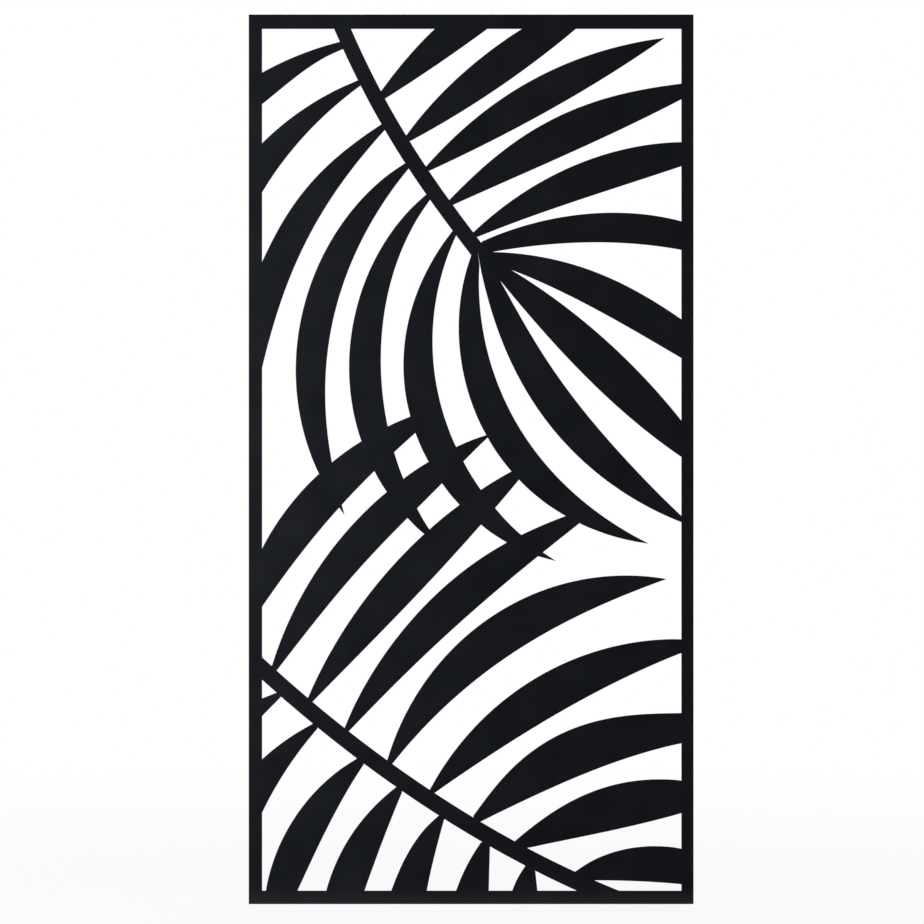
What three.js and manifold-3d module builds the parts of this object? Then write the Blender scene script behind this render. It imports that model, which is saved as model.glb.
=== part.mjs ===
import * as THREE from 'three';
import { mergeVertices } from 'three/addons/utils/BufferGeometryUtils.js';
import Module from 'manifold-3d';

// A laser cut metal screen: one flat sheet with two palm fronds cut through it, stiffened at the back
// by a mitred frame of angle. The angle is held by nuts on studs welded to the back of the sheet, so
// nothing shows on the front. Millimetres, +Z up, the front faces -Y, and the origin is at the middle
// of the bottom edge, halfway through the depth.

// The sheet and its plain borders, which differ a little from side to side.
const panelWidth = 900;
const panelHeight = 1800;
const sheetThickness = 3;
const borderLeft = 27;
const borderRight = 24.5;
const borderTop = 29;
const borderBottom = 27;

// The frame of equal angle behind the sheet, its upright leg flush with the sheet's edge.
const angleLeg = 20;
const angleWall = 3;
const angleRootRadius = 1.5;
const mitreGap = 0.4;

// L shaped corner cleats, which lie on the flat legs and tie the mitres together.
const cleatThickness = 3;
const cleatWidth = 14;
const cleatReach = 78;
const cleatClearance = 2;
const cleatCornerRadius = 3;
const cleatInnerRadius = 5;

// Weld studs on the back of the sheet, in line with the middle of the cleats.
const studDiameter = 5;
const studFlangeDiameter = 6.5;
const studFlangeHeight = 0.8;
const studWeldDepth = 1;
const studLength = 12;
const studLengthAtCleat = 15;
const studFromCorner = 25;
const studSpacingOnCleat = 38;

// How many equal bays the studs between the cleats divide a tall or a wide side into.
const tallSideBays = 6;
const wideSideBays = 3;

// Flange nuts.
const nutAcrossFlats = 8;
const nutHeight = 5;
const nutFlangeDiameter = 11.8;
const nutFlangeHeight = 1.2;
const nutFlangeTaper = 1.4;

// Fixing holes through the upright legs, for screws into posts or a wall.
const fixingHoleDiameter = 6.5;
const fixingHolePitch = 450;

// Running clearances round a stud.
const flangeClearance = 0.4;
const shankClearance = 0.3;

// How finely the curves are drawn.
const curveStep = 36;
const fewestSteps = 6;
const roundSteps = 12;
const filletSteps = 3;
const straightWithin = 0.002;

// The pattern is drawn on a board of this size, from its lower left corner, and fills the panel.
const boardWidth = 900;
const boardHeight = 1800;

const upperStemWidth = 31.5;
const lowerStemWidth = 33.5;
const upperStem = [[177, 1801], [243, 1658], [320, 1523], [389, 1421], [463, 1322]];
const lowerStem = [[3, 499], [127, 389], [335, 232], [511, 123], [762, 4]];

// Each leaf is its two edges, drawn outward from the stem through a few points. Both end at the
// leaf's tip, or beyond the border where the panel cuts the leaf off. The upper frond comes in at the
// top and hangs down: the leaves on its left side, from the top, then the one that ends the stem.
const upperFrondLeft = [
  [[[185, 1745], [104, 1719], [7, 1671]], [[190, 1730], [145, 1708], [79, 1661], [7, 1603]]],
  [[[221, 1667], [104, 1604], [7, 1519]], [[226, 1656], [145, 1588], [65, 1497], [7, 1405]]],
  [
    [[268, 1578], [185, 1517], [104, 1433], [37, 1321], [7, 1255]],
    [[275, 1566], [185, 1455], [105, 1318], [51, 1175], [21, 1060]],
  ],
  [
    [[316, 1499], [205, 1399], [115, 1222], [95, 1079], [122, 919], [194, 787]],
    [[324, 1489], [206, 1294], [155, 1052], [168, 895], [194, 787]],
  ],
  [
    [[359, 1436], [252, 1298], [203, 1097], [228, 936], [321, 781], [393, 719]],
    [[366, 1424], [279, 1222], [272, 1023], [313, 860], [393, 719]],
  ],
  [
    [[412, 1362], [335, 1222], [315, 1050], [364, 894], [470, 767], [622, 694]],
    [[420, 1354], [379, 1222], [380, 1050], [434, 896], [551, 747], [622, 694]],
  ],
  [
    [[450, 1313], [425, 1182], [448, 1023], [530, 877], [670, 770], [810, 729]],
    [[467, 1295], [474, 1162], [550, 960], [670, 821], [810, 729]],
  ],
];

// The leaves on the upper frond's right side, from the top down to the end of the stem.
const upperFrondRight = [
  [[[268, 1645], [316, 1707], [411, 1803]], [[276, 1630], [393, 1707], [523, 1801]]],
  [[[319, 1556], [407, 1657], [508, 1741], [599, 1799]], [[327, 1544], [508, 1654], [697, 1801]]],
  [
    [[359, 1493], [430, 1565], [508, 1627], [711, 1725], [842, 1753]],
    [[366, 1484], [508, 1553], [711, 1667], [842, 1753]],
  ],
  [
    [[405, 1424], [509, 1520], [605, 1583], [711, 1627], [899, 1663]],
    [[414, 1415], [508, 1457], [711, 1548], [899, 1641]],
  ],
  [
    [[455, 1360], [609, 1471], [711, 1514], [812, 1537], [899, 1542]],
    [[463, 1350], [610, 1405], [711, 1439], [899, 1501]],
  ],
  [
    [[472, 1341], [549, 1370], [639, 1391], [731, 1399], [899, 1375]],
    [[484, 1318], [610, 1335], [711, 1339], [899, 1319]],
  ],
  [
    [[484, 1320], [610, 1306], [682, 1286], [752, 1257], [899, 1167]],
    [[488, 1299], [610, 1250], [711, 1199], [899, 1091]],
  ],
  [[[496, 1304], [623, 1222], [788, 1078], [899, 948]], [[480, 1297], [556, 1205], [711, 1039], [899, 889]]],
  [
    [[482, 1307], [531, 1222], [615, 1083], [712, 957], [812, 848], [899, 764]],
    [[470, 1281], [506, 1156], [566, 1031], [711, 867], [899, 764]],
  ],
];

// The lower frond comes in at the left and runs down to the right: the leaves above its stem.
const lowerFrondAbove = [
  [
    [[3, 666], [104, 832], [228, 937], [363, 999]],
    [[19, 590], [102, 705], [182, 801], [254, 876], [363, 976]],
  ],
  [
    [[47, 483], [102, 615], [184, 738], [279, 834], [419, 925], [486, 951]],
    [[57, 473], [105, 535], [169, 615], [243, 700], [321, 781], [433, 894], [490, 950]],
  ],
  [
    [[119, 416], [234, 615], [353, 747], [469, 838], [559, 890]],
    [[128, 408], [231, 513], [330, 615], [470, 768], [561, 876]],
  ],
  [
    [[194, 357], [254, 474], [367, 615], [481, 707], [564, 753], [690, 803]],
    [[203, 350], [347, 495], [479, 615], [587, 705], [695, 791]],
  ],
  [
    [[280, 291], [333, 413], [410, 514], [549, 615], [711, 662], [846, 658]],
    [[290, 283], [388, 391], [508, 490], [711, 604], [846, 658]],
  ],
  [
    [[366, 231], [435, 333], [545, 434], [711, 514], [899, 535]],
    [[376, 225], [508, 314], [711, 433], [899, 517]],
  ],
  [
    [[454, 178], [508, 248], [610, 333], [711, 372], [812, 385], [899, 387]],
    [[469, 167], [556, 209], [711, 276], [899, 330]],
  ],
  [
    [[538, 127], [599, 175], [711, 233], [812, 252], [899, 247]],
    [[566, 114], [711, 144], [812, 167], [899, 191]],
  ],
  [[[661, 66], [711, 95], [812, 117], [899, 107]], [[700, 48], [812, 45], [899, 38]]],
];

// The leaves below the lower frond's stem, from the left.
const lowerFrondBelow = [
  [[[57, 428], [3, 407]], [[65, 419], [3, 356]]],
  [[[128, 364], [63, 323], [3, 270]], [[139, 355], [63, 251], [3, 130]]],
  [[[218, 294], [119, 210], [56, 104], [31, 0]], [[233, 283], [189, 211], [145, 126], [86, 0]]],
  [[[296, 235], [205, 136], [150, 0]], [[310, 226], [265, 112], [225, 0]]],
  [[[383, 178], [339, 130], [305, 69], [279, 0]], [[395, 170], [379, 110], [369, 69], [356, 0]]],
  [[[470, 125], [434, 63], [411, 0]], [[488, 115], [485, 0]]],
  [[[559, 76], [540, 44], [526, 0]], [[580, 66], [587, 0]]],
];

// What follows from those sizes.
const totalDepth = sheetThickness + angleLeg;
const sheetBack = sheetThickness - totalDepth / 2;
const cleatOffset = angleWall + cleatClearance;
const studInset = cleatOffset + cleatWidth / 2;
const fixingHoleHeight = (angleWall + angleLeg) / 2;
const overcut = 1;

const wasm = await Module();
wasm.setup();

const coat = new THREE.MeshStandardMaterial({ color: 0x17191c, roughness: 0.42, metalness: 0.1 });
const zinc = new THREE.MeshStandardMaterial({ color: 0xb4b6b8, roughness: 0.35, metalness: 1 });
coat.flatShading = true;
zinc.flatShading = true;

// A closed geometry as a solid for joining and cutting. Shared corners are merged, and triangles that
// shrink to nothing, as on the axis of a turned shape, are left out.
function toSolid(geometry) {
  const bare = geometry.clone();
  bare.deleteAttribute('normal');
  bare.deleteAttribute('uv');
  const merged = mergeVertices(bare);
  const triangles = [];
  for (let i = 0; i < merged.index.count; i += 3) {
    const corners = [merged.index.getX(i), merged.index.getX(i + 1), merged.index.getX(i + 2)];
    if (new Set(corners).size === 3) {
      triangles.push(...corners);
    }
  }
  return new wasm.Manifold(new wasm.Mesh({
    numProp: 3,
    vertProperties: merged.attributes.position.array,
    triVerts: Uint32Array.from(triangles),
  }));
}

function toGeometry(solid) {
  const mesh = solid.getMesh();
  const geometry = new THREE.BufferGeometry();
  geometry.setAttribute('position', new THREE.BufferAttribute(mesh.vertProperties, 3));
  geometry.setIndex(new THREE.BufferAttribute(mesh.triVerts, 1));
  geometry.computeVertexNormals();
  return geometry;
}

function joined(solids) {
  return solids.reduce((whole, solid) => whole.add(solid));
}

function cut(solid, cutters) {
  return cutters.reduce((whole, cutter) => whole.subtract(cutter), solid);
}

// A flat plate of the given outline, standing in the XZ plane with its back at y = 0.
function plate(shape, thickness, curveSegments) {
  const geometry = new THREE.ExtrudeGeometry(shape, { depth: thickness, bevelEnabled: false, curveSegments });
  return geometry.rotateX(Math.PI / 2);
}

// A point of the pattern board, on the panel.
function onPanel([x, z]) {
  return new THREE.Vector2((x / boardWidth - 0.5) * panelWidth, (z / boardHeight) * panelHeight);
}

// The smooth curve through all the given points: the polynomial whose parameter follows the chords.
function curveThrough(points) {
  const knots = [0];
  for (let i = 1; i < points.length; i += 1) {
    knots.push(knots[i - 1] + points[i].distanceTo(points[i - 1]));
  }
  const steps = Math.max(fewestSteps, Math.round(knots.at(-1) / curveStep));
  const curve = [];
  for (let step = 0; step <= steps; step += 1) {
    const t = (knots.at(-1) * step) / steps;
    const level = points.map((point) => point.clone());
    for (let order = 1; order < points.length; order += 1) {
      for (let i = 0; i < points.length - order; i += 1) {
        const share = (t - knots[i]) / (knots[i + order] - knots[i]);
        level[i].lerp(level[i + 1], share);
      }
    }
    curve.push(level[0]);
  }
  return curve;
}

// A band of even width along a curve.
function stemPlate(centre, width) {
  const offsets = centre.map((point, i) => {
    const before = centre[Math.max(i - 1, 0)];
    const after = centre[Math.min(i + 1, centre.length - 1)];
    const along = after.clone().sub(before).normalize();
    return new THREE.Vector2(-along.y, along.x).multiplyScalar(width / 2);
  });
  const nearSide = centre.map((point, i) => point.clone().add(offsets[i]));
  const farSide = centre.map((point, i) => point.clone().sub(offsets[i]));
  return plate(new THREE.Shape([...nearSide, ...farSide.reverse()]), sheetThickness);
}

// One leaf, closed at its root by the nearest point of the stem's centre line, so that it grows out
// of the stem whatever the stem's width.
function leafPlate([edge, otherEdge], centre) {
  const near = curveThrough(edge.map(onPanel));
  const far = curveThrough(otherEdge.map(onPanel));
  const root = near[0].clone().lerp(far[0], 0.5);
  const closest = (best, point) => (point.distanceTo(root) < best.distanceTo(root) ? point : best);
  const anchor = centre.reduce(closest);
  const outline = [anchor, ...near, ...far.reverse()];
  const shape = new THREE.Shape(THREE.ShapeUtils.isClockWise(outline) ? outline.reverse() : outline);
  return plate(shape, sheetThickness);
}

// The leaf that runs in from the left border has no root on the panel: it closes under the border.
function looseLeafPlate([edge, otherEdge]) {
  const near = curveThrough(edge.map(onPanel));
  const far = curveThrough(otherEdge.map(onPanel));
  return plate(new THREE.Shape([...near, ...far.reverse()].reverse()), sheetThickness);
}

function rectangle(left, bottom, right, top) {
  const corners = [[left, bottom], [right, bottom], [right, top], [left, top]];
  return new THREE.Shape(corners.map(([x, z]) => new THREE.Vector2(x, z)));
}

// The four sides in turn, each with the corner where it starts, the way it runs and the way in.
// Whatever lies along a side is drawn once, x inward, y backward and z along, and laid on each side.
const sides = [
  { name: 'left', corner: 'bottom_left', start: [-0.5, 0], inward: [1, 0], along: [0, 1] },
  { name: 'top', corner: 'top_left', start: [-0.5, 1], inward: [0, -1], along: [1, 0] },
  { name: 'right', corner: 'top_right', start: [0.5, 1], inward: [-1, 0], along: [0, -1] },
  { name: 'bottom', corner: 'bottom_right', start: [0.5, 0], inward: [0, 1], along: [-1, 0] },
];

// Stud centres along a side: two on the cleat at each end, and one where each two bays meet.
function studStations(length, bays) {
  const nearStart = [studFromCorner, studFromCorner + studSpacingOnCleat];
  const nearEnd = nearStart.map((place) => length - place).reverse();
  const between = Array.from({ length: bays - 1 }, (_, i) => ((i + 1) * length) / bays);
  return [
    ...nearStart.map((place) => ({ place, onCleat: true })),
    ...between.map((place) => ({ place, onCleat: false })),
    ...nearEnd.map((place) => ({ place, onCleat: true })),
  ];
}

function fixingStations(length) {
  const count = Math.max(1, Math.round(length / fixingHolePitch));
  return Array.from({ length: count }, (_, i) => ((i + 0.5) * length) / count);
}

for (const side of sides) {
  const isTall = side.along[0] === 0;
  side.length = isTall ? panelHeight : panelWidth;
  side.origin = new THREE.Vector3(side.start[0] * panelWidth, sheetBack, side.start[1] * panelHeight);
  side.turn = new THREE.Matrix4().makeBasis(
    new THREE.Vector3(side.inward[0], 0, side.inward[1]),
    new THREE.Vector3(0, 1, 0),
    new THREE.Vector3(side.along[0], 0, side.along[1]),
  );
  side.studs = studStations(side.length, isTall ? tallSideBays : wideSideBays);
  side.fixings = fixingStations(side.length);
}

// The place of a point given in a side's own directions.
function onSide(side, inward, backward, along) {
  return new THREE.Vector3(inward, backward, along).applyMatrix4(side.turn).add(side.origin);
}

// A weld stud: a small flange and the shank, rooted in the sheet's back.
function studGeometry(length) {
  const shank = studDiameter / 2;
  const flange = studFlangeDiameter / 2;
  const profile = [
    [0, -studWeldDepth],
    [flange, -studWeldDepth],
    [flange, studFlangeHeight],
    [shank, studFlangeHeight],
    [shank, length],
    [0, length],
  ];
  return new THREE.LatheGeometry(profile.map(([x, y]) => new THREE.Vector2(x, y)), roundSteps);
}

function round(diameter, height, steps = roundSteps) {
  return new THREE.CylinderGeometry(diameter / 2, diameter / 2, height, steps);
}

// The closed outlines of a flat solid, read off its front: the edges that only one front triangle
// has, followed from corner to corner.
function frontOutlines(solid) {
  const { vertProperties, triVerts } = solid.getMesh();
  const isFront = (corner) => vertProperties[3 * corner + 1] < -sheetThickness / 2;
  const onward = new Map();
  for (let i = 0; i < triVerts.length; i += 3) {
    const triangle = [...triVerts.slice(i, i + 3)];
    const corners = triangle.every(isFront) ? triangle : [];
    corners.forEach((from, side) => {
      const to = corners[(side + 1) % 3];
      if (!onward.get(to)?.delete(from)) {
        onward.set(from, (onward.get(from) ?? new Set()).add(to));
      }
    });
  }
  const outlines = [];
  for (const start of onward.keys()) {
    const outline = [];
    let corner = start;
    while (onward.get(corner).size > 0) {
      const [next] = onward.get(corner);
      onward.get(corner).delete(next);
      outline.push(new THREE.Vector2(vertProperties[3 * corner], vertProperties[3 * corner + 2]));
      corner = next;
    }
    outlines.push(outline);
  }
  return outlines.filter((outline) => outline.length > 0).map(withoutStraightPoints);
}

// Leaves out the points that only divide a straight stretch.
function withoutStraightPoints(outline) {
  const kept = [outline.at(-1)];
  outline.forEach((point, i) => {
    const after = outline[(i + 1) % outline.length];
    const chord = after.clone().sub(kept.at(-1)).normalize();
    if (Math.abs(chord.cross(point.clone().sub(kept.at(-1)))) > straightWithin) {
      kept.push(point);
    }
  });
  return kept.slice(1);
}

// The windows that the joined leaves leave open: every outline but the rim, as a cut through the sheet.
function windowCuts(pattern) {
  const size = (outline) => Math.abs(THREE.ShapeUtils.area(outline));
  const [, ...windows] = frontOutlines(pattern).sort((a, b) => size(b) - size(a));
  return windows.map((outline) => {
    const through = plate(new THREE.Shape(outline), sheetThickness + 2 * overcut);
    return toSolid(through.translate(0, overcut, 0));
  });
}

// The face sheet: its windows are what borders, stems and leaves leave open when they are joined. The
// studs stand on its back.
function faceSheet() {
  const half = panelWidth / 2;
  const borders = [
    rectangle(-half, 0, -half + borderLeft, panelHeight),
    rectangle(half - borderRight, 0, half, panelHeight),
    rectangle(-half, 0, half, borderBottom),
    rectangle(-half, panelHeight - borderTop, half, panelHeight),
  ];
  const upper = curveThrough(upperStem.map(onPanel));
  const lower = curveThrough(lowerStem.map(onPanel));
  const [looseLeaf, ...rootedAbove] = lowerFrondAbove;
  const metal = [
    ...borders.map((shape) => plate(shape, sheetThickness)),
    stemPlate(upper, upperStemWidth),
    stemPlate(lower, lowerStemWidth),
    ...[...upperFrondLeft, ...upperFrondRight].map((leaf) => leafPlate(leaf, upper)),
    ...[...rootedAbove, ...lowerFrondBelow].map((leaf) => leafPlate(leaf, lower)),
    looseLeafPlate(looseLeaf),
  ];
  const blank = toSolid(plate(rectangle(-half, 0, half, panelHeight), sheetThickness));
  const pattern = joined(metal.map(toSolid)).intersect(blank);
  const studs = sides.flatMap((side) => side.studs.map(({ place, onCleat }) => {
    const stud = studGeometry(onCleat ? studLengthAtCleat : studLength);
    const spot = onSide(side, studInset, 0, place);
    return toSolid(stud.translate(spot.x, 0, spot.z));
  }));
  const sheet = joined([cut(blank, windowCuts(pattern)), ...studs]);
  const mesh = new THREE.Mesh(toGeometry(sheet), coat);
  mesh.name = 'face_sheet';
  mesh.position.set(0, sheetBack, 0);
  return mesh;
}

// One side of the frame: the angle's section drawn out along the side, its ends mitred.
function frameAngle(side) {
  const section = new THREE.Shape();
  section.moveTo(0, 0);
  section.lineTo(angleLeg, 0);
  section.lineTo(angleLeg, angleWall);
  section.lineTo(angleWall + angleRootRadius, angleWall);
  section.quadraticCurveTo(angleWall, angleWall, angleWall, angleWall + angleRootRadius);
  section.lineTo(angleWall, angleLeg);
  section.lineTo(0, angleLeg);
  const bar = new THREE.ExtrudeGeometry(section, {
    depth: side.length, bevelEnabled: false, curveSegments: filletSteps,
  });
  const corners = bar.attributes.position;
  for (let i = 0; i < corners.count; i += 1) {
    const trim = corners.getX(i) + mitreGap / 2;
    corners.setZ(i, corners.getZ(i) === 0 ? trim : side.length - trim);
  }
  const studHoles = side.studs.map(({ place }) => {
    const hole = round(studFlangeDiameter + 2 * flangeClearance, angleWall + 2 * overcut);
    return toSolid(hole.translate(studInset, angleWall / 2, place));
  });
  const fixingHoles = side.fixings.map((place) => {
    const hole = round(fixingHoleDiameter, angleWall + 2 * overcut).rotateZ(Math.PI / 2);
    return toSolid(hole.translate(angleWall / 2, fixingHoleHeight, place));
  });
  const geometry = toGeometry(cut(toSolid(bar), [...studHoles, ...fixingHoles]));
  const mesh = new THREE.Mesh(geometry.applyMatrix4(side.turn), coat);
  mesh.name = `frame_${side.name}`;
  mesh.position.copy(side.origin);
  return mesh;
}

// An outline through the given corners, each rounded by its own radius.
function roundedShape(corners) {
  const points = corners.map(([x, y]) => new THREE.Vector2(x, y));
  const shape = new THREE.Shape();
  corners.forEach(([, , radius], i) => {
    const point = points[i];
    const before = points.at(i - 1);
    const after = points[(i + 1) % points.length];
    const enter = before.clone().sub(point).setLength(radius).add(point);
    const leave = after.clone().sub(point).setLength(radius).add(point);
    if (i === 0) {
      shape.moveTo(enter.x, enter.y);
    } else {
      shape.lineTo(enter.x, enter.y);
    }
    shape.quadraticCurveTo(point.x, point.y, leave.x, leave.y);
  });
  return shape;
}

// The cleat at the corner where a side starts. It is alike on both legs, so it fits every corner.
function cornerCleat(side) {
  const inner = cleatOffset + cleatWidth;
  const shape = roundedShape([
    [cleatOffset, cleatOffset, cleatCornerRadius],
    [cleatReach, cleatOffset, cleatCornerRadius],
    [cleatReach, inner, cleatCornerRadius],
    [inner, inner, cleatInnerRadius],
    [inner, cleatReach, cleatCornerRadius],
    [cleatOffset, cleatReach, cleatCornerRadius],
  ]);
  const holes = [studFromCorner, studFromCorner + studSpacingOnCleat].flatMap((place) => {
    const spots = [[studInset, place], [place, studInset]];
    return spots.map(([x, z]) => {
      const hole = round(studDiameter + 2 * shankClearance, cleatThickness + 2 * overcut);
      return toSolid(hole.translate(x, cleatThickness / 2, z));
    });
  });
  const blank = plate(shape, cleatThickness, filletSteps).translate(0, cleatThickness, 0);
  const mesh = new THREE.Mesh(toGeometry(cut(toSolid(blank), holes)).applyMatrix4(side.turn), coat);
  mesh.name = `cleat_${side.corner}`;
  mesh.position.copy(onSide(side, 0, angleWall, 0));
  return mesh;
}

// A hexagon nut on its tapered flange, seated at y = 0 with its bore along Y.
function flangeNutGeometry() {
  const flangeTop = nutFlangeDiameter / 2 - nutFlangeTaper;
  const flange = new THREE.CylinderGeometry(flangeTop, nutFlangeDiameter / 2, nutFlangeHeight, roundSteps);
  const acrossCorners = nutAcrossFlats / Math.cos(Math.PI / 6);
  const hexagon = round(acrossCorners, nutHeight, 6);
  const bore = round(studDiameter + 2 * shankClearance, nutHeight + 2 * overcut);
  const body = joined([
    toSolid(flange.translate(0, nutFlangeHeight / 2, 0)),
    toSolid(hexagon.translate(0, nutHeight / 2, 0)),
  ]);
  return toGeometry(body.subtract(toSolid(bore.translate(0, nutHeight / 2, 0))));
}

const nutGeometry = flangeNutGeometry();

function sideNuts(side) {
  return side.studs.map(({ place, onCleat }, i) => {
    const mesh = new THREE.Mesh(nutGeometry, zinc);
    mesh.name = `nut_${side.name}_${String(i + 1).padStart(2, '0')}`;
    const seat = angleWall + (onCleat ? cleatThickness : 0);
    mesh.position.copy(onSide(side, studInset, seat, place));
    return mesh;
  });
}

const screen = new THREE.Group();
screen.add(faceSheet());
for (const side of sides) {
  screen.add(frameAngle(side), cornerCleat(side), ...sideNuts(side));
}

export default screen;
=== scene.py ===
import math

import bmesh
import bpy
from mathutils import Matrix, Vector


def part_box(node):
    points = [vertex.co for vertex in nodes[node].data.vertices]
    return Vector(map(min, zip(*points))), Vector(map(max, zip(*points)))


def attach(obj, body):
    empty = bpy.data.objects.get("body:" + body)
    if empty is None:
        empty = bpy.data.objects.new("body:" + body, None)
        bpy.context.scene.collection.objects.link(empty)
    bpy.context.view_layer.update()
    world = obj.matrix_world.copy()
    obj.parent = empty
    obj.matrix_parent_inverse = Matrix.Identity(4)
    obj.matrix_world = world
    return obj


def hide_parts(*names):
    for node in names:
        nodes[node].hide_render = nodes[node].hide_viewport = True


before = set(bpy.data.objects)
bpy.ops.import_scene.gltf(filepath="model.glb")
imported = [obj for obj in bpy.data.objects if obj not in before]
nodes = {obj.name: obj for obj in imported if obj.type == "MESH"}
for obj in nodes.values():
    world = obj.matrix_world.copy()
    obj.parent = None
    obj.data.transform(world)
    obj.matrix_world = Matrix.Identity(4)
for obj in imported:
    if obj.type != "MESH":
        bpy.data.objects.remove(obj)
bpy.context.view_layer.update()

# A laser cut palm frond screen in satin black powder coat: the cut sheet, the angle frame behind it,
# its cleats, weld studs and flange nuts. Metres, +Z up, the front faces -Y.

mm = 0.001
root = "root"

# Shader helpers

noiseMiddle = (0.3, 0.7)            # the range in which most of a cloud noise lies


class Wire:
    # A node's output socket, which takes part in sums as a number does.
    def __init__(self, paint, socket):
        self.paint = paint
        self.socket = socket

    def __add__(self, other):
        return self.paint.maths("ADD", self, other)

    def __mul__(self, other):
        return self.paint.maths("MULTIPLY", self, other)

    __radd__ = __add__
    __rmul__ = __mul__


class Paint:
    # A node tree under construction, of a material or of the world.
    def __init__(self, owner):
        owner.use_nodes = True
        self.owner = owner
        self.tree = owner.node_tree
        self.tree.nodes.clear()

    def node(self, kind, settings=None, sockets=None, output=0):
        made = self.tree.nodes.new(kind)
        for name, value in (settings or {}).items():
            setattr(made, name, value)
        for name, value in (sockets or {}).items():
            if isinstance(value, Wire):
                self.tree.links.new(value.socket, made.inputs[name])
            else:
                made.inputs[name].default_value = value
        return Wire(self, made.outputs[output]) if made.outputs else made

    def maths(self, operation, first, second):
        return self.node("ShaderNodeMath", {"operation": operation}, {0: first, 1: second})

    def noise(self, size, detail, roughness=0.5, stretch=(1, 1, 1)):
        # Cloud noise from 0 to 1 whose blobs are about the given size in metres.
        here = self.node("ShaderNodeTexCoord", output="Object")
        place = self.node("ShaderNodeMapping", sockets={"Vector": here, "Scale": stretch})
        return self.node("ShaderNodeTexNoise", sockets={
            "Vector": place, "Scale": 1 / size, "Detail": detail, "Roughness": roughness,
        })

    def spread(self, value, low, high):
        # Takes the middle of a noise to the range from low to high.
        return self.node("ShaderNodeMapRange", {"clamp": True}, {
            "Value": value, "From Min": noiseMiddle[0], "From Max": noiseMiddle[1],
            "To Min": low, "To Max": high,
        })

    def mix(self, factor, first, second):
        return self.node(
            "ShaderNodeMix", {"data_type": "RGBA"}, {0: factor, 6: first, 7: second}, output=2
        )

    def bump(self, height, distance, onto=None):
        sockets = {"Height": height, "Distance": distance, "Strength": 1.0}
        if onto is not None:
            sockets["Normal"] = onto
        return self.node("ShaderNodeBump", sockets=sockets)

    def principled(self, sockets):
        return self.output(self.node("ShaderNodeBsdfPrincipled", sockets=sockets))

    def output(self, shader):
        self.node("ShaderNodeOutputMaterial", sockets={"Surface": shader})
        return self.owner


def newPaint(name):
    return Paint(bpy.data.materials.new(name))


# Finishes

coatLook = {
    "dark": (0.0050, 0.0064, 0.0099, 1),
    "light": (0.0061, 0.0078, 0.0117, 1),
    "shine": 0.2,                   # specular level of the satin coat
    "cloudSize": 90 * mm,           # the coat's thickness wanders over a hand's breadth
    "roughness": (0.38, 0.47),
    "peelSize": 1.8 * mm,           # orange peel
    "peelDepth": 0.018 * mm,
    "grainSize": 0.35 * mm,         # the fine tooth of a satin powder
    "grainDepth": 0.004 * mm,
    "striationPitch": 0.5 * mm,     # laser drag lines on a cut wall, softened by the coat
    "striationDepth": 0.014 * mm,
    "striationStretch": 0.03,       # scale of their noise along Y, which draws it out into lines
}


def coatBase(paint):
    cloud = paint.noise(coatLook["cloudSize"], detail=3.0)
    return {
        "Base Color": paint.mix(paint.spread(cloud, 0.0, 1.0), coatLook["dark"], coatLook["light"]),
        "Roughness": paint.spread(cloud, *coatLook["roughness"]),
        "Specular IOR Level": coatLook["shine"],
    }


def powderCoat(name):
    paint = newPaint(name)
    sockets = coatBase(paint)
    peel = paint.bump(paint.noise(coatLook["peelSize"], detail=1.0), coatLook["peelDepth"])
    grain = paint.noise(coatLook["grainSize"], detail=0.0)
    sockets["Normal"] = paint.bump(grain, coatLook["grainDepth"], onto=peel)
    return paint.principled(sockets)


def cutWallCoat(name):
    # The lines run through the sheet, along Y, whichever way the wall faces.
    paint = newPaint(name)
    sockets = coatBase(paint)
    throughSheet = (1, coatLook["striationStretch"], 1)
    lines = paint.noise(coatLook["striationPitch"], detail=1.0, stretch=throughSheet)
    drag = paint.bump(lines, coatLook["striationDepth"])
    peel = paint.noise(coatLook["peelSize"], detail=1.0)
    sockets["Normal"] = paint.bump(peel, coatLook["peelDepth"], onto=drag)
    return paint.principled(sockets)


zincLook = {
    "bright": (0.60, 0.61, 0.63, 1),
    "dull": (0.47, 0.48, 0.50, 1),
    "cloudSize": 4 * mm,
    "roughness": (0.26, 0.42),
    "bumpSize": 0.25 * mm,          # the fine grain of the plating
    "bumpDepth": 0.004 * mm,
}
bareLook = {
    "bright": (0.66, 0.66, 0.65, 1),
    "dull": (0.42, 0.41, 0.39, 1),
    "cloudSize": 3 * mm,
    "roughness": (0.28, 0.46),
    "bumpDepth": 0.01 * mm,         # the stains stand a little off the metal
}


def bareMetal(name, look):
    # Metal whose brightness and gloss wander together.
    paint = newPaint(name)
    cloud = paint.noise(look["cloudSize"], detail=4.0, roughness=0.6)
    relief = paint.noise(look["bumpSize"], detail=2.0) if "bumpSize" in look else cloud
    return paint.principled({
        "Base Color": paint.mix(paint.spread(cloud, 0.0, 1.0), look["dull"], look["bright"]),
        "Metallic": 1.0,
        "Roughness": paint.spread(cloud, *look["roughness"]),
        "Normal": paint.bump(relief, look["bumpDepth"]),
    })


coat = powderCoat("satinBlackCoat")
wallCoat = cutWallCoat("satinBlackCutWall")
zinc = bareMetal("zincPlate", zincLook)
studSteel = bareMetal("studMetal", bareLook)
print("finishes made")

# Mesh helpers


def turned(degrees, axis):
    return Matrix.Rotation(math.radians(degrees), 4, axis)


def addObject(name, data):
    item = bpy.data.objects.new(name, data)
    bpy.context.scene.collection.objects.link(item)
    return item


def meshOf(shell, name):
    data = bpy.data.meshes.new(name)
    shell.to_mesh(data)
    shell.free()
    return data


def evaluatedMesh(item):
    # The mesh that an object's curve or modifiers make.
    bpy.context.view_layer.update()
    return bpy.data.meshes.new_from_object(item.evaluated_get(bpy.context.evaluated_depsgraph_get()))


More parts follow.
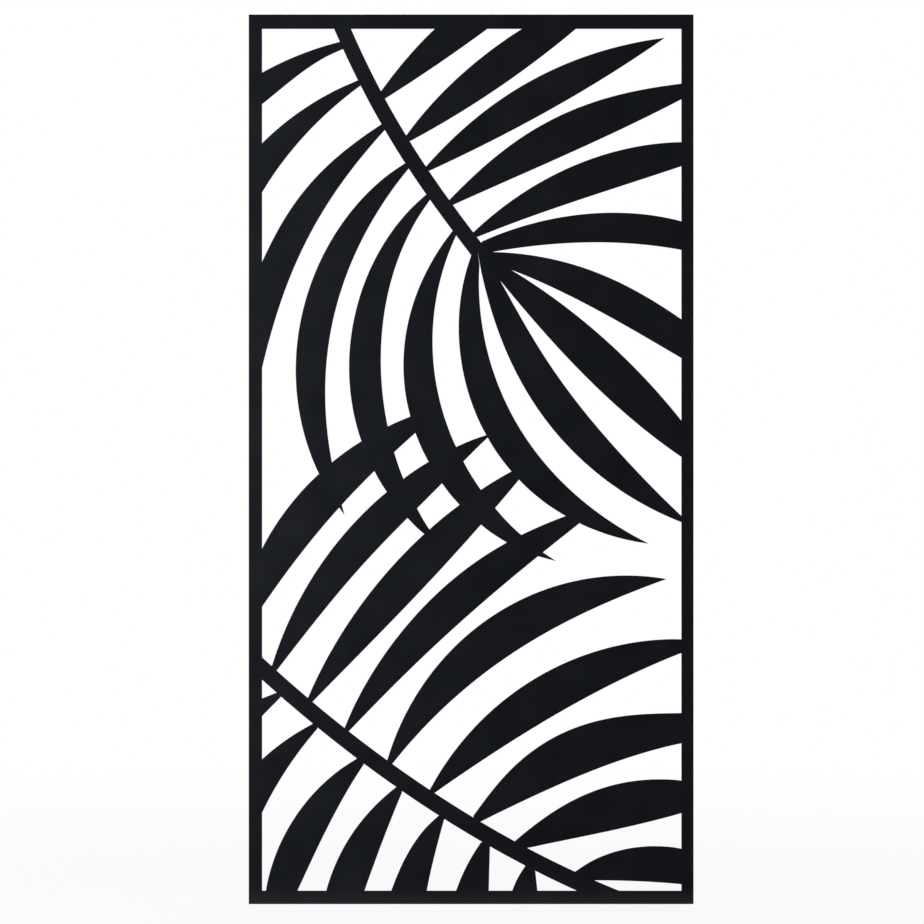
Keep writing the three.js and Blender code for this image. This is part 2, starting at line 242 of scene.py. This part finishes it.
def makePiece(shell, name, materials, sharpOver=None):
    # Turns a shell into a finished piece on the one body, with the edges over an angle kept crisp.
    data = meshOf(shell, name)
    for material in materials:
        data.materials.append(material)
    if sharpOver is not None:
        data.set_sharp_from_angle(angle=math.radians(sharpOver))
    piece = addObject(name, data)
    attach(piece, root)
    return piece


def smoothAll(shell):
    for face in shell.faces:
        face.smooth = True


def grownOf(result, kind):
    # What an extrusion has added, of one kind.
    return [item for item in result["geom"] if isinstance(item, kind)]


def thicken(shell, step):
    # Draws a flat shell out by a step, which closes it.
    grown = bmesh.ops.extrude_face_region(shell, geom=shell.faces[:])
    bmesh.ops.translate(shell, verts=grownOf(grown, bmesh.types.BMVert), vec=step)


# The cut sheet. Its windows keep the frame's outlines, drawn smooth between the real corners.

sheetLook = {
    "sameSpot": 0.001 * mm,     # corners of the frame's loose triangles that are one point
    "flatWithin": 0.01 * mm,    # heights that count as the same
    "speck": 0.5 * mm,          # points of an outline that lie closer than this become one
    "cornerTurn": 13,           # degrees: an outline that turns faster than this has a corner there
    "slitTurn": 175,            # and one that turns back like this is the end of a slit
    "stepsBetween": 5,          # steps along each bent stretch of an outline
    "weld": 0.02 * mm,
    "fillSlants": (37, 0, 1.7, 23, 61, 74),     # degrees
    "arris": 0.3 * mm,          # radius on the cut edges, from deburring and the coat
    "longestMitre": 2.5,        # of an inset, past which it is held back at a sharp tip
    "sharpTurn": 20,            # degrees: a wall that turns faster shows a crisp upright edge
    "wallBelow": 0.5,           # share of Y in a face's normal: less in a wall,
    "flatOver": 0.9,            # and more in the front and the back
}

sheetLow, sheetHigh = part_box("face_sheet")
sheetFront = sheetLow.y
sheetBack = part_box("frame_left")[0].y


def frontOutlines():
    # The closed outlines of the CAD sheet's front, the rim and every window.
    shell = bmesh.new()
    shell.from_mesh(nodes["face_sheet"].data)
    bmesh.ops.remove_doubles(shell, verts=shell.verts, dist=sheetLook["sameSpot"])
    deepest = sheetFront + sheetLook["flatWithin"]
    behind = [face for face in shell.faces if face.calc_center_median().y > deepest]
    bmesh.ops.delete(shell, geom=behind, context="FACES")
    onward = {}
    for edge in shell.edges:
        if edge.is_boundary:
            first, second = edge.verts
            onward.setdefault(first, []).append(second)
            onward.setdefault(second, []).append(first)
    outlines = []
    left = set(onward)
    while left:
        start = min(left, key=lambda vert: vert.index)
        outline, here, before = [], start, None
        while here in left:
            left.discard(here)
            outline.append((here.co.x, here.co.z))
            here, before = next(vert for vert in onward[here] if vert is not before), here
        outlines.append(withoutSpecks([Vector(point) for point in outline]))
    shell.free()
    return outlines


def withoutSpecks(outline):
    # Of two points that lie too close, the one at the gentler turn goes.
    while True:
        gap, i = min(((point - outline[i - 1]).length, i) for i, point in enumerate(outline))
        if gap >= sheetLook["speck"]:
            return outline
        del outline[i if turnAt(outline, i) < turnAt(outline, i - 1) else i - 1]


def turnAt(outline, i):
    # Degrees by which the outline turns at a point.
    here = outline[i]
    arriving = here - outline[i - 1]
    leaving = outline[(i + 1) % len(outline)] - here
    return math.degrees(arriving.angle(leaving))


def staysSharp(outline, i):
    # True at a corner, and beside the end of a slit, whose two sides would cross if they bent.
    neighbours = (turnAt(outline, i - 1), turnAt(outline, (i + 1) % len(outline)))
    return max(neighbours) > sheetLook["slitTurn"] or turnAt(outline, i) > sheetLook["cornerTurn"]


def smoothOutlines(outlines):
    # Wires through the same points, with handles that bend everywhere but where the outline is sharp.
    drawing = bpy.data.curves.new("outlines", "CURVE")
    drawing.dimensions = "2D"
    drawing.fill_mode = "NONE"
    drawing.resolution_u = sheetLook["stepsBetween"]
    for outline in outlines:
        spline = drawing.splines.new("BEZIER")
        spline.bezier_points.add(len(outline) - 1)
        spline.use_cyclic_u = True
        for i, (knot, point) in enumerate(zip(spline.bezier_points, outline)):
            handle = "VECTOR" if staysSharp(outline, i) else "AUTO"
            knot.co = (point.x, point.y, 0)
            knot.handle_left_type = knot.handle_right_type = handle
    holder = addObject("outlines", drawing)
    wires = evaluatedMesh(holder)
    bpy.data.objects.remove(holder)
    bpy.data.curves.remove(drawing)
    return wires


def fillBetween(wires, windowCount):
    # The flat sheet between its outlines. Edges that lie in one line can upset the fill, so it is done
    # at a slant, and done again at another if windows are missing.
    for degrees in sheetLook["fillSlants"]:
        slant = turned(degrees, "Z")
        shell = bmesh.new()
        shell.from_mesh(wires)
        bmesh.ops.transform(shell, matrix=slant, verts=shell.verts)
        bmesh.ops.remove_doubles(shell, verts=shell.verts, dist=sheetLook["weld"])
        bmesh.ops.triangle_fill(shell, edges=shell.edges, use_beauty=True, normal=(0, 0, 1))
        bmesh.ops.transform(shell, matrix=slant.inverted(), verts=shell.verts)
        windows = 1 - (len(shell.verts) - len(shell.edges) + len(shell.faces))
        hasLooseEdges = any(edge.is_wire for edge in shell.edges)
        print("sheet filled at", degrees, "degrees with", windows, "windows")
        if windows == windowCount and not hasLooseEdges:
            break
    return shell


def roundOff(shell, faces):
    # Two insets that also step outward turn the square edge round these faces into a quarter round.
    reach = sheetLook["arris"]
    share = 1 - math.sqrt(0.5)
    for inward, outward in ((share, 1 - share), (1 - share, share)):
        inset = bmesh.ops.inset_region(
            shell, faces=faces, use_boundary=True, use_even_offset=True,
            thickness=inward * reach, depth=outward * reach,
        )
        inner = {vert for face in faces for vert in face.verts}
        longest = sheetLook["longestMitre"] * inward * reach
        for band in inset["faces"]:
            band.smooth = True
            for edge in band.edges:
                holdBack(edge, inner, longest)


def holdBack(edge, inner, longest):
    # Shortens the step from the outer to the inner rim, in the sheet's plane, to the longest allowed.
    near = [vert for vert in edge.verts if vert in inner]
    if len(near) == 1:
        moved = near[0]
        outer = edge.other_vert(moved)
        step = moved.co - outer.co
        step.y = 0
        if step.length > longest:
            step = step.normalized() * longest
            moved.co = (outer.co.x + step.x, moved.co.y, outer.co.z + step.z)


def makePatternSheet():
    reach = sheetLook["arris"]
    outlines = frontOutlines()
    wires = smoothOutlines(outlines)
    shell = fillBetween(wires, len(outlines) - 1)
    bpy.data.meshes.remove(wires)
    standing = Matrix.Translation((0, sheetFront + reach, 0)) @ turned(90, "X")
    bmesh.ops.transform(shell, matrix=standing, verts=shell.verts)
    thicken(shell, (0, sheetBack - sheetFront - 2 * reach, 0))
    bmesh.ops.recalc_face_normals(shell, faces=shell.faces)
    for face in shell.faces:
        isWall = abs(face.normal.y) < sheetLook["wallBelow"]
        face.smooth = isWall
        face.material_index = 1 if isWall else 0
    for facing in (-1, 1):
        roundOff(shell, [face for face in shell.faces if face.normal.y * facing > sheetLook["flatOver"]])
    for edge in shell.edges:
        crossesRim = abs(edge.verts[0].co.y - edge.verts[1].co.y) > sheetLook["flatWithin"]
        if crossesRim and edge.calc_face_angle(0) > math.radians(sheetLook["sharpTurn"]):
            edge.smooth = False
    closed = all(edge.is_manifold for edge in shell.edges)
    print("pattern sheet:", len(shell.faces), "faces, closed:", closed)
    return makePiece(shell, "pattern_sheet", [coat, wallCoat])


patternSheet = makePatternSheet()
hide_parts("face_sheet")

# The four sides in turn. Whatever lies along a side is made once, x inward from the edge, y back from
# the sheet and z along, and laid on each side.

width = sheetHigh.x - sheetLow.x
height = sheetHigh.z - sheetLow.z
sides = [
    {"name": "left", "corner": "bottom_left", "start": (sheetLow.x, sheetLow.z),
     "inward": (1, 0), "along": (0, 1), "length": height},
    {"name": "top", "corner": "top_left", "start": (sheetLow.x, sheetHigh.z),
     "inward": (0, -1), "along": (1, 0), "length": width},
    {"name": "right", "corner": "top_right", "start": (sheetHigh.x, sheetHigh.z),
     "inward": (-1, 0), "along": (0, -1), "length": height},
    {"name": "bottom", "corner": "bottom_right", "start": (sheetHigh.x, sheetLow.z),
     "inward": (0, 1), "along": (-1, 0), "length": width},
]
nutNames = sorted(name for name in nodes if name.startswith("nut_"))


def layOn(side):
    # The matrix that takes a side's own directions to the screen's.
    inward = Vector((side["inward"][0], 0, side["inward"][1]))
    along = Vector((side["along"][0], 0, side["along"][1]))
    turn = Matrix((inward, Vector((0, 1, 0)), along)).transposed().to_4x4()
    return Matrix.Translation((side["start"][0], sheetBack, side["start"][1])) @ turn


def middle(name):
    low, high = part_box(name)
    return (low + high) / 2


# What the angles and cleats share: round corners, drilled holes and eased arrises

trimLook = {
    "cornerSteps": 5,
    "drillSteps": 32,
    "drillLength": 12 * mm,
    "sharpOver": 35,           # degrees: steeper edges are shaded crisp
    "easedOver": 50,           # degrees: steeper edges are eased
    "easeSteps": 2,
}


def roundedOutline(corners, look):
    # A flat face with round corners: each is its place, and the name of its radius in the look.
    shell = bmesh.new()
    verts = [shell.verts.new(place) for place, kind in corners]
    shell.faces.new(verts)
    for vert, (place, kind) in zip(verts, corners):
        bmesh.ops.bevel(
            shell, geom=[vert], offset=look[kind], offset_type="OFFSET",
            segments=trimLook["cornerSteps"], profile=0.5, affect="VERTICES", material=-1,
        )
    return shell


def drilled(shell, drills):
    # The solid less round holes: each drill is the hole's matrix, along its own Z, and its diameter.
    cutter = bmesh.new()
    for matrix, diameter in drills:
        bmesh.ops.create_cone(
            cutter, cap_ends=True, segments=trimLook["drillSteps"], radius1=diameter / 2,
            radius2=diameter / 2, depth=trimLook["drillLength"], matrix=matrix,
        )
    blank = addObject("blank", meshOf(shell, "blank"))
    drillBits = addObject("drills", meshOf(cutter, "drills"))
    boolean = blank.modifiers.new("holes", "BOOLEAN")
    boolean.operation = "DIFFERENCE"
    boolean.solver = "EXACT"
    boolean.object = drillBits
    result = evaluatedMesh(blank)
    bpy.data.objects.remove(blank)
    bpy.data.objects.remove(drillBits)
    holed = bmesh.new()
    holed.from_mesh(result)
    bpy.data.meshes.remove(result)
    return holed


def makeTrim(shell, home, name, arris):
    # Lays a piece of the frame in its place, coated and with its edges eased.
    bmesh.ops.transform(shell, matrix=home, verts=shell.verts)
    smoothAll(shell)
    piece = makePiece(shell, name, [coat], sharpOver=trimLook["sharpOver"])
    ease = piece.modifiers.new("arris", "BEVEL")
    ease.limit_method = "ANGLE"
    ease.angle_limit = math.radians(trimLook["easedOver"])
    ease.width = arris
    ease.segments = trimLook["easeSteps"]
    ease.profile = 0.5
    ease.harden_normals = True
    return piece


# Frame angles: one leg lies on the sheet, the other stands back from its edge

angleLook = {
    "wall": 3 * mm,
    "root": 1.5 * mm,          # radius in the angle
    "toe": 0.8 * mm,           # radii that the extrusion has at its toes and heel
    "heel": 0.5 * mm,
    "mitreGap": 0.4 * mm,
    "studHole": 7.3 * mm,
    "fixingHole": 6.5 * mm,
    "fixingPitch": 450 * mm,
    "fixingBack": 11.5 * mm,   # from the sheet's back to the fixing holes
    "arris": 0.2 * mm,
}


def angleDrills(side, home):
    # Oversize holes for the studs in the leg on the sheet, and fixing holes in the standing leg.
    drills = []
    for name in nutNames:
        if name.startswith("nut_" + side["name"]):
            stud = home.inverted() @ middle(name)
            throughFlat = Matrix.Translation((stud.x, 0, stud.z)) @ turned(90, "X")
            drills.append((throughFlat, angleLook["studHole"]))
    count = round(side["length"] / angleLook["fixingPitch"])
    for i in range(count):
        spot = (0, angleLook["fixingBack"], (i + 0.5) * side["length"] / count)
        drills.append((Matrix.Translation(spot) @ turned(90, "Y"), angleLook["fixingHole"]))
    return drills


def makeAngle(side):
    low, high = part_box("frame_" + side["name"])
    leg, wall = high.y - low.y, angleLook["wall"]
    shell = roundedOutline([
        ((0, 0, 0), "heel"), ((leg, 0, 0), "toe"), ((leg, wall, 0), "toe"),
        ((wall, wall, 0), "root"), ((wall, leg, 0), "toe"), ((0, leg, 0), "toe"),
    ], angleLook)
    thicken(shell, (0, 0, side["length"]))
    for vert in shell.verts:
        trim = vert.co.x + angleLook["mitreGap"] / 2
        vert.co.z = trim if vert.co.z < side["length"] / 2 else side["length"] - trim
    bmesh.ops.recalc_face_normals(shell, faces=shell.faces)
    home = layOn(side)
    shell = drilled(shell, angleDrills(side, home))
    piece = makeTrim(shell, home, "angle_" + side["name"], angleLook["arris"])
    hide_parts("frame_" + side["name"])


# Corner cleats, which bridge the mitres

cleatLook = {
    "offset": 5 * mm,          # from the screen's edge
    "width": 14 * mm,
    "reach": 78 * mm,          # from the screen's corner to the end of an arm
    "corner": 3 * mm,          # radii of the outer corners and of the inner one
    "inner": 5 * mm,
    "hole": 5.6 * mm,
    "arris": 0.25 * mm,
}


def makeCleat(side):
    name = "cleat_" + side["corner"]
    low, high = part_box(name)
    near = low.y - sheetBack
    offset, reach = cleatLook["offset"], cleatLook["reach"]
    inner = offset + cleatLook["width"]
    shell = roundedOutline([
        ((offset, near, offset), "corner"), ((reach, near, offset), "corner"),
        ((reach, near, inner), "corner"), ((inner, near, inner), "inner"),
        ((inner, near, reach), "corner"), ((offset, near, reach), "corner"),
    ], cleatLook)
    thicken(shell, (0, high.y - low.y, 0))
    bmesh.ops.recalc_face_normals(shell, faces=shell.faces)
    home = layOn(side)
    drills = []
    for nut in nutNames:
        place = middle(nut)
        if low.x < place.x < high.x and low.z < place.z < high.z:
            stud = home.inverted() @ place
            through = Matrix.Translation((stud.x, near, stud.z)) @ turned(90, "X")
            drills.append((through, cleatLook["hole"]))
    piece = makeTrim(drilled(shell, drills), home, "corner_" + name, cleatLook["arris"])
    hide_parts(name)


for side in sides:
    makeAngle(side)
    makeCleat(side)
print("frame made")

# Turned parts: weld studs and nuts are drawn about Z, then laid along +Y at their places


def addRing(shell, ring, radius, rise):
    # Draws the last ring of a turned part out to the next.
    grown = bmesh.ops.extrude_edge_only(shell, edges=ring)
    setRing(grownOf(grown, bmesh.types.BMVert), radius, rise)
    return grownOf(grown, bmesh.types.BMEdge)


def setRing(verts, radius, rise):
    # The radius and the rise are numbers, or functions of the angle round the axis.
    for vert in verts:
        angle = math.atan2(vert.co.y, vert.co.x)
        out = radius(angle) if callable(radius) else radius
        up = rise(angle) if callable(rise) else rise
        vert.co = (out * math.cos(angle), out * math.sin(angle), up)


def layTurned(shell, place, foot, spin=0):
    # Sets a turned part on its foot, a distance along Y, at the place of its nut.
    home = Matrix.Translation((place.x, foot, place.z)) @ turned(-90, "X") @ turned(spin, "Z")
    bmesh.ops.transform(shell, matrix=home, verts=shell.verts)


# Weld studs: a flange on the sheet, a core and a rolled thread

studLook = {
    "beyondNut": 4 * mm,
    "flange": 6.5 * mm,
    "flangeHeight": 0.8 * mm,
    "steps": 24,
    "thread": 5 * mm,
    "core": 4.1 * mm,
    "pitch": 0.8 * mm,
    "tip": 0.7 * mm,           # chamfer at the end
    "bare": 1.2 * mm,          # plain shank over the flange
    "ridgeHalf": 0.44,         # half of the thread's ridge at its foot, as a share of the pitch
    "crestHalf": 0.15,         # half of its flat crest, as a share of that
    "sunk": 0.05 * mm,         # how far the ridge goes into the core
    "stepsRound": 16,          # of one turn of the thread
    "sharpOver": 40,           # degrees
}


def makeStud(nut):
    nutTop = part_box(nut)[1].y
    length = nutTop + studLook["beyondNut"] - sheetBack
    flange, core = studLook["flange"] / 2, studLook["core"] / 2
    shell = bmesh.new()
    bmesh.ops.create_circle(shell, cap_ends=True, segments=studLook["steps"], radius=flange)
    ring = shell.edges[:]
    for radius, rise in (
        (flange, studLook["flangeHeight"]),
        (core, studLook["flangeHeight"]),
        (core, length - studLook["tip"] / 2),
        (core - studLook["tip"] / 2, length),
    ):
        ring = addRing(shell, ring, radius, rise)
    bmesh.ops.contextual_create(shell, geom=ring)
    turns = (length - studLook["flangeHeight"] - studLook["bare"] - studLook["tip"]) / studLook["pitch"]
    addThread(shell, studLook["flangeHeight"] + studLook["bare"], turns)
    bmesh.ops.recalc_face_normals(shell, faces=shell.faces)
    smoothAll(shell)
    layTurned(shell, middle(nut), sheetBack)
    makePiece(
        shell, nut.replace("nut", "weld_stud"), [studSteel], sharpOver=studLook["sharpOver"]
    )


def addThread(shell, start, turns):
    # One ridge wound up the core, closed at both ends.
    half = studLook["pitch"] * studLook["ridgeHalf"]
    crestHalf = studLook["crestHalf"]
    core, crest = studLook["core"] / 2 - studLook["sunk"], studLook["thread"] / 2
    section = [shell.verts.new(point) for point in (
        (core, 0, start), (crest, 0, start + half * (1 - crestHalf)),
        (crest, 0, start + half * (1 + crestHalf)), (core, 0, start + 2 * half),
    )]
    face = shell.faces.new(section)
    steps = max(1, round(turns * studLook["stepsRound"]))
    bmesh.ops.spin(
        shell, geom=[face, *face.edges, *section], cent=(0, 0, 0), axis=(0, 0, 1),
        dvec=(0, 0, turns * studLook["pitch"] / steps), angle=turns * 2 * math.pi, steps=steps,
    )


for nut in nutNames:
    makeStud(nut)
print("studs made")

# Flange nuts

nutLook = {
    "acrossFlats": 8 * mm,
    "flangeSlope": 0.75 * mm,  # rise of the flange's cone up to the hexagon
    "flangeEdge": 0.55 * mm,
    "rimUnder": 0.15 * mm,     # chamfer under the flange's rim
    "rimDrop": 0.1 * mm,       # and the one over it, downward and inward
    "rimInward": 0.12 * mm,
    "bore": 5.06 * mm,
    "countersink": 5.6 * mm,
    "chamferCircle": 7.5 * mm,
    "chamferSlope": 30,        # degrees
    "steps": 48,
    "spinEach": 23,            # degrees from one nut to the next along a side, and for each letter
    "spinPerLetter": 7,        # of its name, so that they don't all stand alike
    "sharpOver": 25,           # degrees
}


def hexagonAt(angle):
    # Distance from the axis to the hexagon's side.
    sector = math.radians(60)
    return nutLook["acrossFlats"] / 2 / math.cos((angle + sector / 2) % sector - sector / 2)


def makeNut(name):
    low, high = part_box(name)
    tall = high.y - low.y
    flange = (high.x - low.x) / 2
    bore, sink = nutLook["bore"] / 2, nutLook["countersink"] / 2
    circle = nutLook["chamferCircle"] / 2
    edge, slope = nutLook["flangeEdge"], nutLook["flangeSlope"]
    fall = math.tan(math.radians(nutLook["chamferSlope"]))
    shell = bmesh.new()
    bmesh.ops.create_circle(shell, cap_ends=False, segments=nutLook["steps"], radius=bore)
    start = shell.edges[:]
    setRing(shell.verts, bore, sink - bore)
    ring = start
    for radius, rise in (
        (sink, 0),
        (flange - nutLook["rimUnder"], 0),
        (flange, nutLook["rimUnder"]),
        (flange, edge - nutLook["rimDrop"]),
        (flange - nutLook["rimInward"], edge),
        (hexagonAt, edge + slope),
        (hexagonAt, lambda angle: tall - (hexagonAt(angle) - circle) * fall),
        (circle, tall),
        (sink, tall),
        (bore, tall - (sink - bore)),
    ):
        ring = addRing(shell, ring, radius, rise)
    bmesh.ops.bridge_loops(shell, edges=start + ring)
    bmesh.ops.recalc_face_normals(shell, faces=shell.faces)
    smoothAll(shell)
    spin = len(name) * nutLook["spinPerLetter"] + int(name[-2:]) * nutLook["spinEach"]
    layTurned(shell, middle(name), low.y, spin)
    piece = makePiece(shell, "flange_" + name, [zinc], sharpOver=nutLook["sharpOver"])
    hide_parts(name)


for name in nutNames:
    makeNut(name)
print("nuts made")

# Camera: dead-on, from far off, framed as the photograph is

photo = {
    "side": 924,               # pixels
    "left": 248.73,            # the panel's outer edges, pixels
    "right": 693.55,
    "bottom": 904.12,
    "distance": 7.0,           # metres from the camera to the sheet
    "sensor": 36,              # millimetres
    "sight": 200,              # metres
}


def makeCamera():
    pixel = width / (photo["right"] - photo["left"])
    eye = bpy.data.cameras.new("camera")
    eye.sensor_width = photo["sensor"]
    eye.lens = photo["sensor"] * photo["distance"] / (photo["side"] * pixel)
    eye.clip_end = photo["sight"]
    holder = addObject("camera", eye)
    across = sheetLow.x + (photo["side"] / 2 - photo["left"]) * pixel
    up = sheetLow.z + (photo["bottom"] - photo["side"] / 2) * pixel
    holder.location = (across, sheetFront - photo["distance"], up)
    holder.rotation_euler = (math.radians(90), 0, 0)
    bpy.context.scene.camera = holder


makeCamera()
print("camera set")

# Studio: a pale floor and a white surround, a soft light from the left, a weak fill from the right and
# a light from behind. Metres and watts.

studio = {
    "ambient": 0.33,           # strength of the surround as a light
    "floorColour": (0.68, 0.68, 0.68, 1),
    "whiteNear": 0.91,         # share of plain white that the camera sees on the floor by the screen
    "whiteFrom": 0.6,          # where that share begins to grow, and where the floor is all white
    "whiteAll": 3.5,
    "floorSize": 60,
    "flagWidth": 18,           # the black cards: one on the floor, one that stands at its far end
    "flagNear": 0.05,
    "flagAway": 9,
    "flagHeight": 10,
    "flagLift": 0.005,
}
softboxes = {
    "key": {"place": (-2.5, -1.8, 1.0), "size": (1.4, 2.2), "power": 98},
    "fill": {"place": (3.2, -2.8, 1.4), "size": (2.0, 2.0), "power": 6},
    "back": {"place": (1.2, 3.4, 2.6), "size": (2.4, 1.6), "power": 60},
}


def seenRays(paint):
    # 1 for what the camera sees, straight or in a reflection or through glass.
    camera, glossy, through = [
        paint.node("ShaderNodeLightPath", output=name)
        for name in ("Is Camera Ray", "Is Glossy Ray", "Is Transmission Ray")
    ]
    return paint.maths("MAXIMUM", paint.maths("MAXIMUM", camera, glossy), through)


def makeWorld():
    world = bpy.data.worlds.new("studio")
    bpy.context.scene.world = world
    paint = Paint(world)
    strength = seenRays(paint) * (1 - studio["ambient"]) + studio["ambient"]
    glow = paint.node("ShaderNodeBackground", sockets={"Color": (1, 1, 1, 1), "Strength": strength})
    paint.node("ShaderNodeOutputWorld", sockets={"Surface": glow})


def makeFloor():
    shell = bmesh.new()
    bmesh.ops.create_grid(shell, x_segments=1, y_segments=1, size=studio["floorSize"] / 2)
    floor = addObject("floor", meshOf(shell, "floor"))
    paint = newPaint("floorWhite")
    here = paint.node("ShaderNodeTexCoord", output="Object")
    away = paint.node("ShaderNodeVectorMath", {"operation": "LENGTH"}, {0: here}, output="Value")
    white = paint.node("ShaderNodeMapRange", {"clamp": True, "interpolation_type": "SMOOTHSTEP"}, {
        "Value": away, "From Min": studio["whiteFrom"], "From Max": studio["whiteAll"],
        "To Min": studio["whiteNear"], "To Max": 1.0,
    })
    matt = paint.node("ShaderNodeBsdfDiffuse", sockets={"Color": studio["floorColour"]})
    glow = paint.node("ShaderNodeEmission", sockets={"Color": (1, 1, 1, 1), "Strength": 1.0})
    both = paint.node("ShaderNodeMixShader", sockets={0: white * seenRays(paint), 1: matt, 2: glow})
    floor.data.materials.append(paint.output(both))


def makeFlag():
    # Black cards before the screen, on the floor and behind the camera. Only reflections show them:
    # they keep the white surround's glare off the flat front.
    near, away = sheetFront - studio["flagNear"], sheetFront - studio["flagAway"]
    shell = bmesh.new()
    ends = [shell.verts.new((end * studio["flagWidth"] / 2, near, studio["flagLift"])) for end in (-1, 1)]
    edge = shell.edges.new(ends)
    for step in ((0, away - near, 0), (0, 0, studio["flagHeight"])):
        grown = bmesh.ops.extrude_edge_only(shell, edges=[edge])
        edge = grownOf(grown, bmesh.types.BMEdge)[0]
        bmesh.ops.translate(shell, verts=edge.verts, vec=step)
    flag = addObject("flag", meshOf(shell, "flag"))
    paint = newPaint("flagBlack")
    black = paint.node("ShaderNodeEmission", sockets={"Color": (0, 0, 0, 1), "Strength": 0.0})
    flag.data.materials.append(paint.output(black))
    flag.visible_camera = False
    flag.visible_diffuse = False
    flag.visible_transmission = False
    flag.visible_shadow = False


def makeSoftboxes():
    target = Vector((0, 0, height / 2))
    for name, box in softboxes.items():
        light = bpy.data.lights.new(name, "AREA")
        light.shape = "RECTANGLE"
        light.size, light.size_y = box["size"]
        light.energy = box["power"]
        holder = addObject(name, light)
        holder.location = box["place"]
        holder.rotation_euler = (target - holder.location).to_track_quat("-Z", "Y").to_euler()


makeWorld()
makeFloor()
makeFlag()
makeSoftboxes()
bpy.context.scene.view_settings.view_transform = "Standard"
print("studio made")
